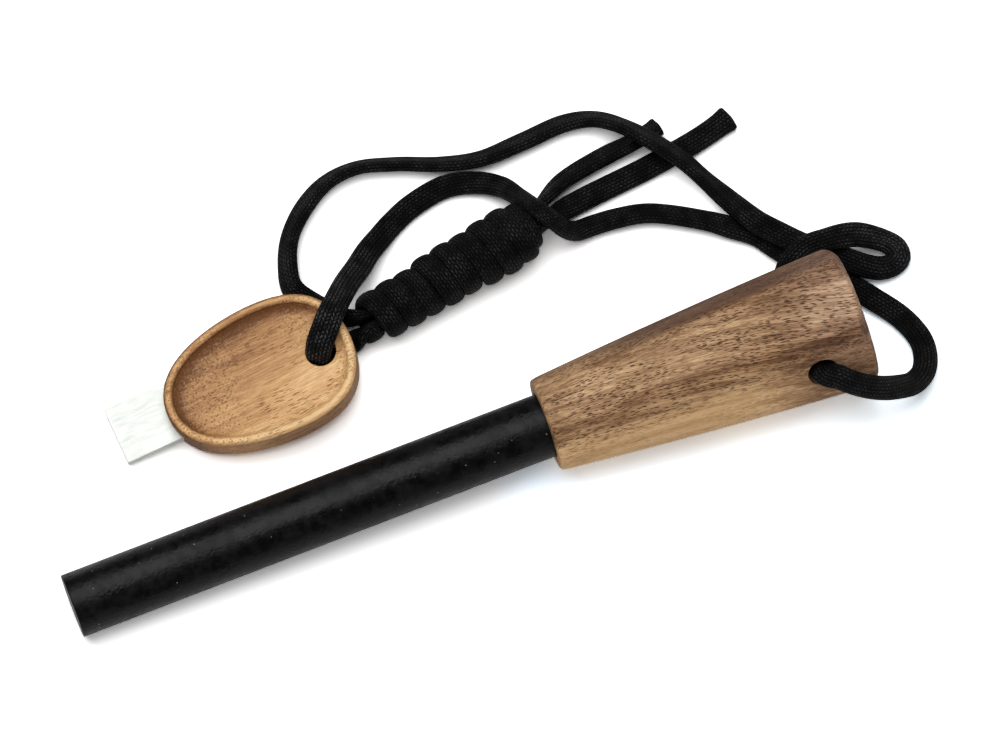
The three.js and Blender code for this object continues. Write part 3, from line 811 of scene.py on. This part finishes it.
# The painted shade on the outer wall, the painted light on the rim's top and the painted shade at its inner
# edge
painted_outer_shade, painted_rim_light, painted_inner_shade = -1.6, 0.85, -0.75
blade_half_width, blade_thickness, blade_from_foot = 0.006, 0.0015, 0.0023
blade_length, blade_shown, blade_aside, slot_gap = 0.026, 0.0108, 0.0017, 0.0003
acacia_ramp = [
    (0.0, (0.17, 0.068, 0.024)),
    (0.25, (0.35, 0.163, 0.066)),
    (0.5, (0.53, 0.275, 0.113)),
    (0.8, (0.78, 0.455, 0.2)),
    (1.0, (0.95, 0.64, 0.33)),
]
acacia_pore, acacia_grit = (0.17, 0.058, 0.022, 1), (0.93, 0.64, 0.35, 1)
swivel = frame["joints"][0]
blade_way = -Vector(mounts["blade_end_face"]["axis"])
striker_up = Vector(swivel["axis"])
holder_place = laid(Vector(swivel["pos_m"]), blade_way, striker_up)
holder_place @= Matrix.Translation((-striker_hole_from_middle, -striker_hole_aside, 0))


def egg(share, inset):
    """A point on the egg's outline, set in square to it."""
    t = 2 * math.pi * share
    q = squareness
    wide = holder_half_width * (math.sin(t) + q * math.sin(3 * t)) / (1 - q)
    widen = holder_half_width * (math.cos(t) + 3 * q * math.cos(3 * t)) / (1 - q)
    taper = 1 + egg_share * math.cos(t)
    x, y = holder_half_length * (math.cos(t) - q * math.cos(3 * t)) / (1 - q), wide * taper
    along = -holder_half_length * (math.sin(t) - 3 * q * math.sin(3 * t)) / (1 - q)
    across = widen * taper - wide * egg_share * math.sin(t)
    size = math.hypot(along, across)
    return x - inset * across / size, y + inset * along / size


# The holder's profile, from the middle of its foot up its wall, over its rim and down to the middle of its
# dish: how far in from the outline, which share of the way out, how high, and how much painted light (above
# 0) or painted shade (below 0) it carries
wall = [(inset, share, 0, painted_outer_shade) for inset, share in [(0, 0), (foot_inset, 0.5), (foot_inset, 0.96)]]
for t in np.linspace(0, math.pi / 2, foot_rings):
    wall.append((foot_inset * (1 - math.sin(t)), 1, foot_inset * (1 - math.cos(t)), painted_outer_shade))
for t in np.linspace(0, math.pi, rim_rings):
    height = holder_thickness - rim * 0.5 + rim * 0.5 * math.sin(t)
    tint = painted_rim_light * math.sin(t) ** 2 + painted_outer_shade * math.cos(t / 2) ** 8 + painted_inner_shade * math.sin(t / 2) ** 6
    wall.append((rim / 2 * (1 - math.cos(t)), 1, height, tint))
# Down the dish's inner wall, whose painted shade fades out towards the floor
wall += [
    (0.00205, 1, 0.0064, -0.85),
    (0.00225, 1, 0.0061, -0.8),
    (0.0026, 1, 0.0058, -0.68),
    (0.0031, 1, 0.00557, -0.5),
    (0.0038, 1, 0.0054, -0.32),
    (0.0046, 1, 0.00528, -0.16),
]
for share, tint in [(0.93, -0.06), (0.83, 0), (0.7, 0), (0.5, 0), (0.25, 0), (0, 0)]:
    wall.append((dish_inset, share, dish_floor - dish_hollow * (1 - share * share), tint))


def on_holder(column, ring):
    inset, share, height, _ = wall[ring]
    x, y = egg(column / holder_sides, inset)
    return holder_place @ Vector((x * share, y * share, height))


tints = [tint for *_, tint in wall]
holder = sleeve("striker_holder_wood", holder_sides, len(wall), on_holder, 1, tints)
hole_place = holder_place @ Matrix.Translation((striker_hole_from_middle, striker_hole_aside, 0))
hole_place @= Matrix.Rotation(-math.pi / 2, 4, "Y")
hole = drill(hole_sides, striker_hole_radius, -striker_hole_reach, 2 * striker_hole_reach, hole_place)


def slab(name, half_width, thickness, start, end, height, bevel=0):
    """A flat bar along the striker."""
    bar = bmesh.new()
    bmesh.ops.create_cube(bar, size=1)
    bmesh.ops.scale(bar, verts=bar.verts, vec=(end - start, half_width * 2, thickness))
    bmesh.ops.translate(bar, verts=bar.verts, vec=((start + end) / 2, blade_aside, height + thickness / 2))
    if bevel:
        bmesh.ops.bevel(
            bar, geom=bar.edges, offset=bevel, segments=2, profile=0.5, affect="EDGES", material=-1
        )
    bmesh.ops.transform(bar, matrix=holder_place, verts=bar.verts)
    mesh = bpy.data.meshes.new(name)
    bar.to_mesh(mesh)
    bar.free()
    piece = bpy.data.objects.new(name, mesh)
    scene.collection.objects.link(piece)
    return piece


blade_end = -(holder_half_length + blade_shown)
slot_end = blade_end + blade_length + slot_gap
slot_size = blade_half_width + slot_gap, blade_thickness + 2 * slot_gap
slot = slab("slot", *slot_size, blade_end, slot_end, blade_from_foot - slot_gap)
bored(holder, [hole, slot])
acacia, shader, place = new_finish("oiled_acacia", Specular_IOR_Level=0.2)
tint = place.node("Attribute", attribute_name="tint", output=2)
wood = in_place(place, holder_place)
x, y = wood.split(2)
drift = stretched(wood, 0.05, 0.18, 0.18).noise(1.0, 3.0)
streak = stretched(wood, 0.08, 1.3, 1.3).noise(1.0, 4.0, 0.6)
fibre = stretched(wood, 0.3, 5.0, 5.0).noise(1.0, 3.0, 0.6)
grit = place.noise(2300.0, 2.0)
band = ((y * 0.16 + drift * 1.8) * 2 * math.pi).math("SINE") * 0.5 + 0.5
# Painted light: the wood is lighter towards the side that faces the lamp and darker away from it
painted_light_side = (x * 0.4 - y * 0.9).between(-12, 11)
tone = band * 0.08 + streak.between(0.32, 0.68) * 0.24 + fibre.between(0.32, 0.68) * 0.26 + painted_light_side * 0.54
# Painted shade on the outer wall and on the dish's inner wall, less on the side that faces the lamp, and a
# painted highlight on the rim's top
outer_wall_shade = tint.between(-0.9, -1.6) * x.between(-12, 6, 0.2, 0.64)
painted_wall_shade = tint.between(0, -1) * (painted_light_side * -1.15 + 1.1) + outer_wall_shade
tone = tone + tint.math("MAXIMUM", 0.0) * (0.5 - painted_light_side * 0.09) - painted_wall_shade * 0.75
pore_where = stretched(wood, 0.1, 0.3, 0.3).noise(1.0, 2.0).between(0.4, 0.58)
pore = stretched(wood, 0.5, 3.6, 3.6).cells(1.0).between(0.4, 0.24) * (pore_where * 0.85 + 0.15)
# Where the dish cuts across the grain it shows open ends, as dots, which its steep wall hides
ends = (drift * 14 - x - 9).between(0, 5) + (x + drift * 10 - 12).between(0, 4) * y.between(0, 5)
ends = ends.math("MINIMUM", 1.0)
open_floor = tint.between(-0.75, -0.1, 0.35, 1)
dots = place.cells(1700.0).between(0.42, 0.2) * open_floor
pore = pore * (1 - ends) + dots * ends * 0.8
grit_share = grit.between(0.45, 0.75) * (ends * 0.2 + 0.15) * open_floor
grown = (pore * 0.72).mix(tone.node("ValToRGB", {0: tone}, stops=acacia_ramp), acacia_pore)
feed(shader["Base Color"], grit_share.mix(grown, acacia_grit))
feed(shader["Roughness"], 0.56 + pore * 0.2 - fibre * 0.08)
relief = fibre * 0.3 - pore + grit * 0.15
feed(shader["Normal"], relief.bump(0.00012, 0.6))
holder.data.materials.append(acacia)
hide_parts("striker_holder")
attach(holder, "striker")

# The blade
# A strip of hardened steel, ground square so that its edges scrape the rod, with the fine lengthwise
# scratches that the grinding leaves.
blade_bevel = 0.00008
steel_dull, steel_bright = (0.715, 0.735, 0.7, 1), (0.735, 0.755, 0.72, 1)
blade_size = blade_half_width, blade_thickness
blade = slab("steel_blade", *blade_size, blade_end, blade_end + blade_length, blade_from_foot, blade_bevel)
steel, shader, place = new_finish("ground_steel", Metallic=1)
scratch = stretched(in_place(place, holder_place), 0.3, 9.0, 9.0).noise(1.0, 3.0)
feed(shader["Base Color"], scratch.mix(steel_dull, steel_bright))
feed(shader["Roughness"], scratch.between(0.3, 0.7, 0.52, 0.64))
feed(shader["Normal"], scratch.bump(0.000006, 0.2))
blade.data.materials.append(steel)
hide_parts("striker_blade")
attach(blade, "striker")
